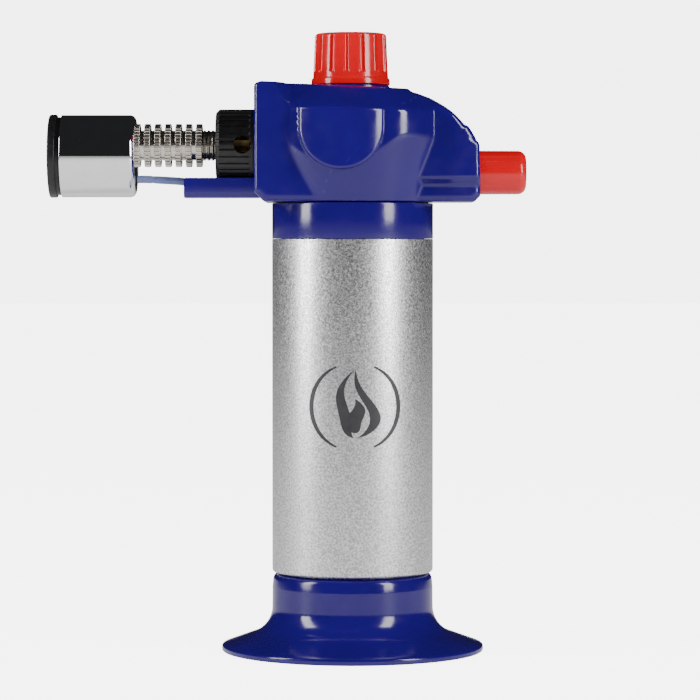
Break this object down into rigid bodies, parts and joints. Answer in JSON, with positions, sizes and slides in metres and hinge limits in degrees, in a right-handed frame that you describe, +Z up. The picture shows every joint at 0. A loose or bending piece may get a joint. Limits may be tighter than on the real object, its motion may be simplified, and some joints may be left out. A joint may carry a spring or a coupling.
{
  "type": "butane torch",
  "caption": "Refillable upright gas torch: aluminium tank on a flared stand, blue head with flow knob, side burner with cooling fins and barrel, push-button spark igniter.",
  "frame": {"origin": "middle of the bounding box's bottom face, in the plane that the stand's rim rests on", "axes": "+Z up along the tank's axis, -X towards the burner's mouth, +X towards the ignition button"},
  "size_m": [0.148, 0.0814, 0.1919],
  "materials": {
    "blue_plastic": "glossy",
    "red_plastic": "glossy",
    "black_plastic": "satin",
    "tank_aluminium": "bead-blasted satin",
    "nickel": "nickel-plated, satin",
    "chrome": "mirror polished",
    "steel": "satin",
    "brass": "machined",
    "rubber": "matte",
    "ceramic": "glazed",
    "sleeve": "satin, slightly translucent",
    "nylon": "satin"
  },
  "bodies": {
    "torch": {"base_stand": "blue_plastic", "head_half_left": "blue_plastic", "head_half_right": "blue_plastic", "neck_ring": "blue_plastic", "barrel_rim": "black_plastic", "igniter_body": "black_plastic", "tank_shell": "tank_aluminium", "burner_tube": "nickel", "barrel": "chrome", "barrel_plate": "steel", "flame_holder": "steel", "spark_electrode": "steel", "earth_contact": "steel", "lid_nut": "steel", "fill_valve_spring": "steel", "igniter_spring": "steel", "housing_screw_1": "steel", "housing_screw_2": "steel", "housing_screw_3": "steel", "fill_valve_body": "brass", "valve_body": "brass", "gland_nut": "brass", "mixer_tube": "brass", "jet_holder": "brass", "gas_jet": "brass", "gas_tube": "brass", "lid_seal": "rubber", "fill_valve_seal": "rubber", "electrode_insulator": "ceramic", "inlet_filter": "ceramic", "ignition_lead": "sleeve", "tank_lid": "nylon"},
    "knob": {"flow_knob": "red_plastic", "knob_spindle": "steel", "valve_needle": "steel", "needle_seal": "rubber"},
    "button": {"ignition_button": "red_plastic", "igniter_plunger": "nylon"},
    "collar": {"air_collar": "black_plastic"},
    "fill_stem": {"fill_valve_stem": "brass"}
  },
  "joints": [
    {"name": "knob_turn", "type": "hinge", "parent": "torch", "child": "knob", "pos_m": [0.01935, 0, 0.1756], "axis": [0, 0, 1], "range_deg": [0, 360]},
    {"name": "button_press", "type": "slide", "parent": "torch", "child": "button", "axis": [-1, 0, 0], "range_m": [0, 0.006], "stiffness_N_per_m": 1500, "deforming": ["igniter_spring"]},
    {"name": "collar_turn", "type": "hinge", "parent": "torch", "child": "collar", "pos_m": [-0.01035, 0, 0.157], "axis": [1, 0, 0], "range_deg": [0, 90]},
    {"name": "fill_stem_lift", "type": "slide", "parent": "torch", "child": "fill_stem", "axis": [0, 0, 1], "range_m": [0, 0.0015], "stiffness_N_per_m": 800, "deforming": ["fill_valve_spring"]}
  ]
}
